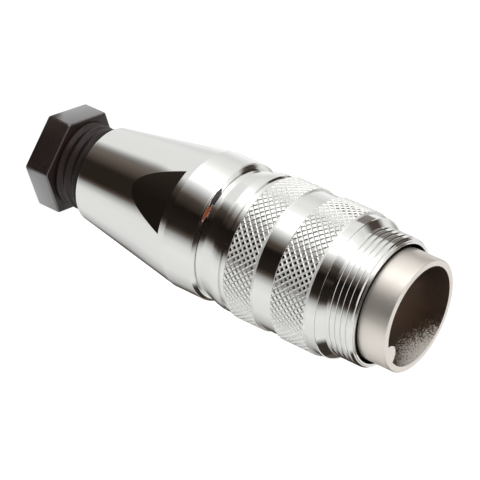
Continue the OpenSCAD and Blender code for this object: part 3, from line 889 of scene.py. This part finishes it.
class CONNECTOR_OT_studio(bpy.types.Operator):
    """Set up the pale floor, the soft light and the camera"""

    bl_idname = "connector.studio"
    bl_label = "Studio"

    def execute(self, context):
        settings = context.scene.connector.studio
        bpy.ops.object.select_all(action="DESELECT")
        bpy.ops.mesh.primitive_plane_add(size=4.0)
        floor = new_piece("floor")
        floor.data.materials.append(self.floor_material(settings))
        self.world(context)
        self.lamp("upper_softbox", (-0.35, -0.25, 0.45), 0.45, 6.0)
        self.lamp("fill_softbox", (0.35, -0.35, 0.35), 0.5, 4.0)
        self.camera(context, settings)
        context.scene.view_settings.view_transform = "Standard"
        return {"FINISHED"}

    def floor_material(self, settings):
        """A white floor that shows white, keeps the shadow, and is dark in front where polished metal mirrors it."""
        material = bpy.data.materials.new("Pale studio floor")
        material.use_nodes = True
        tree = material.node_tree
        tree.nodes.clear()
        rays = add_node(tree, "ShaderNodeLightPath").outputs
        paint = add_node(tree, "ShaderNodeBsdfDiffuse", {"Color": settings.floor}).outputs[0]
        glow = add_node(tree, "ShaderNodeEmission", {"Color": (1, 1, 1, 1), "Strength": 1.0}).outputs[0]
        seen = mix_shaders(tree, 0.8, paint, glow)
        # The unlit half of the room in front of the connector, as its polished faces mirror it
        place = add_node(tree, "ShaderNodeNewGeometry").outputs["Position"]
        axes = add_node(tree, "ShaderNodeSeparateXYZ", {0: place}).outputs
        heading = compute(tree, "ARCTAN2", axes["Y"], axes["X"])
        reach = distance(tree, place)
        # Close to the connector its own shade widens the dark side, and far from it the dark side lies further round
        near = remap(tree, reach, *NEAR_SHADE, 1.0, 0.0)
        far = remap(tree, reach, *FAR_ROOM)
        left = compute(tree, "LESS_THAN", heading, math.radians(-90))
        shade_turn = compute(tree, "MULTIPLY_ADD", left, math.radians(10), math.radians(6))
        room_turn = compute(tree, "MULTIPLY_ADD", left, math.radians(-8), math.radians(-5))
        near_heading = compute(tree, "MULTIPLY_ADD", near, shade_turn, heading)
        room = self.mirrored_room(tree, compute(tree, "MULTIPLY_ADD", far, room_turn, near_heading))
        # The softbox is brighter than white only further off
        limited = compute(tree, "MINIMUM", room, remap(tree, reach, *FULL_SOFTBOX, 1.0, 2.5))
        # The floor's own light keeps that shade from being black close by, more so on the left
        spill = remap(tree, heading, math.radians(-136), math.radians(-98), 0.26, 0.028)
        lit = compute(tree, "MAXIMUM", limited, compute(tree, "MULTIPLY", near, spill))
        # Something dark further off, behind on the left, which only the thread mirrors
        aside = compute(tree, "COMPARE", heading, math.radians(155), math.radians(15))
        hidden = compute(tree, "MULTIPLY", aside, remap(tree, reach, *DARK_THING, 0.0, 0.7))
        level = compute(tree, "MULTIPLY", lit, compute(tree, "SUBTRACT", 1.0, hidden))
        mirrored = add_node(tree, "ShaderNodeEmission", {"Color": self.room_colour(tree, level), "Strength": level})
        by_camera = mix_shaders(tree, rays["Is Camera Ray"], paint, seen)
        glossy = compute(tree, "MAXIMUM", rays["Is Glossy Ray"], rays["Is Transmission Ray"])
        surface = mix_shaders(tree, glossy, by_camera, mirrored.outputs[0])
        add_node(tree, "ShaderNodeOutputMaterial", {"Surface": surface})
        return material

    def mirrored_room(self, tree, heading):
        """Brightness of the room that polished metal mirrors, for a heading in radians."""
        ramp = add_node(tree, "ShaderNodeValToRGB", {"Fac": remap(tree, heading, -math.pi, math.pi)})
        stops = ramp.color_ramp.elements
        for element, position in zip(list(stops), (0.0, 1.0)):
            element.position, element.color = position, (BEHIND, BEHIND, BEHIND, 1)
        for _, degrees, level in SURROUNDINGS:
            stops.new(degrees / 360 + 0.5).color = (level, level, level, 1)
        return ramp.outputs[0]

    def room_colour(self, tree, level):
        """Colour of the room for its brightness: brown where it is dark, and white elsewhere."""
        return mix_colours(tree, remap(tree, level, 0.02, 0.4), linear("#ffdfc8"), linear("#ffffff"))

    def world(self, context):
        """White where the camera and the metal see it, and plain soft light elsewhere."""
        world = bpy.data.worlds.new("Studio")
        context.scene.world = world
        world.use_nodes = True
        tree = world.node_tree
        tree.nodes.clear()
        rays = add_node(tree, "ShaderNodeLightPath").outputs
        direction = add_node(tree, "ShaderNodeTexCoord").outputs["Generated"]
        axes = add_node(tree, "ShaderNodeSeparateXYZ", {0: direction}).outputs
        heading = compute(tree, "ARCTAN2", axes["Y"], axes["X"])
        # High up, the dark side of the room reaches further round to the right
        high = remap(tree, axes["Z"], 0.3, 0.75, 0.0, math.radians(22))
        right = compute(tree, "GREATER_THAN", heading, math.radians(-80))
        turn = compute(tree, "MULTIPLY", high, right)
        room = self.mirrored_room(tree, compute(tree, "SUBTRACT", heading, turn))
        # The room shows in front only: the ceiling and the back are white, apart from two corners
        ahead = remap(tree, axes["Y"], 0.0, 0.3, 1.0, 0.0)
        walls = remap(tree, axes["Z"], 0.9, 0.95, 1.0, 0.0)
        mirrored = mix(tree, compute(tree, "MULTIPLY", ahead, walls), 1.0, room)
        for corner, edge, core, brightness in DARK_CORNERS:
            unlit = remap(tree, along(tree, direction, corner), edge, core, 1.0, brightness)
            mirrored = compute(tree, "MULTIPLY", mirrored, unlit)
        soft = mix(tree, rays["Is Glossy Ray"], 0.7, mirrored)
        clear = compute(tree, "MAXIMUM", rays["Is Camera Ray"], rays["Is Transmission Ray"])
        strength = mix(tree, clear, soft, 1.0)
        back = add_node(tree, "ShaderNodeBackground", {"Color": self.room_colour(tree, strength), "Strength": strength})
        add_node(tree, "ShaderNodeOutputWorld", {"Surface": back.outputs[0]})

    def lamp(self, name, place, width, watts):
        """A square softbox that faces the connector."""
        bpy.ops.object.select_all(action="DESELECT")
        bpy.ops.object.light_add(type="AREA", location=place)
        lamp = bpy.context.object
        lamp.name = lamp.data.name = name
        lamp.data.size = width
        lamp.visible_glossy = False
        lamp.data.energy = watts
        lamp.rotation_euler = (Vector((0, 0, 0.03)) - Vector(place)).to_track_quat("-Z", "Y").to_euler()

    def camera(self, context, settings):
        """The photograph's view, rolled so that the standing connector lies across the picture."""
        place, target = Vector(settings.camera_place), Vector(settings.target)
        bpy.ops.object.select_all(action="DESELECT")
        bpy.ops.object.camera_add(location=place)
        camera = bpy.context.object
        camera.name = camera.data.name = "photo_camera"
        look = (target - place).to_track_quat("-Z", "Y") @ Quaternion((0, 0, 1), settings.roll)
        camera.rotation_euler = look.to_euler()
        camera.data.lens = settings.lens
        camera.data.sensor_width = 36.0
        camera.data.clip_start = 0.01
        context.scene.camera = camera


STEPS = (
    CONNECTOR_OT_studio, CONNECTOR_OT_gland_nut, CONNECTOR_OT_housing, CONNECTOR_OT_coupling_ring,
    CONNECTOR_OT_shield_tube, CONNECTOR_OT_cable_seal, CONNECTOR_OT_inner_parts,
)


class CONNECTOR_PT_build(bpy.types.Panel):
    """Lists the steps that build the connector"""

    bl_idname = "CONNECTOR_PT_build"
    bl_label = "Coaxial connector"
    bl_space_type = "VIEW_3D"
    bl_region_type = "UI"
    bl_category = "Connector"

    def draw(self, context):
        for step in STEPS:
            self.layout.operator(step.bl_idname)


CLASSES = (
    NutSizes, HousingSizes, RingSizes, TubeSizes, Finishes, StudioSettings, ConnectorSettings,
    *STEPS, CONNECTOR_PT_build,
)


def register():
    """Register the settings, the operators and the panel."""
    for cls in CLASSES:
        bpy.utils.register_class(cls)
    bpy.types.Scene.connector = bpy.props.PointerProperty(type=ConnectorSettings)


def unregister():
    """Take the settings, the operators and the panel away again."""
    del bpy.types.Scene.connector
    for cls in reversed(CLASSES):
        bpy.utils.unregister_class(cls)


def main():
    """Build the connector step by step."""
    register()
    for step in STEPS:
        group, name = step.bl_idname.split(".")
        getattr(getattr(bpy.ops, group), name)()


if __name__ == "__main__":
    main()
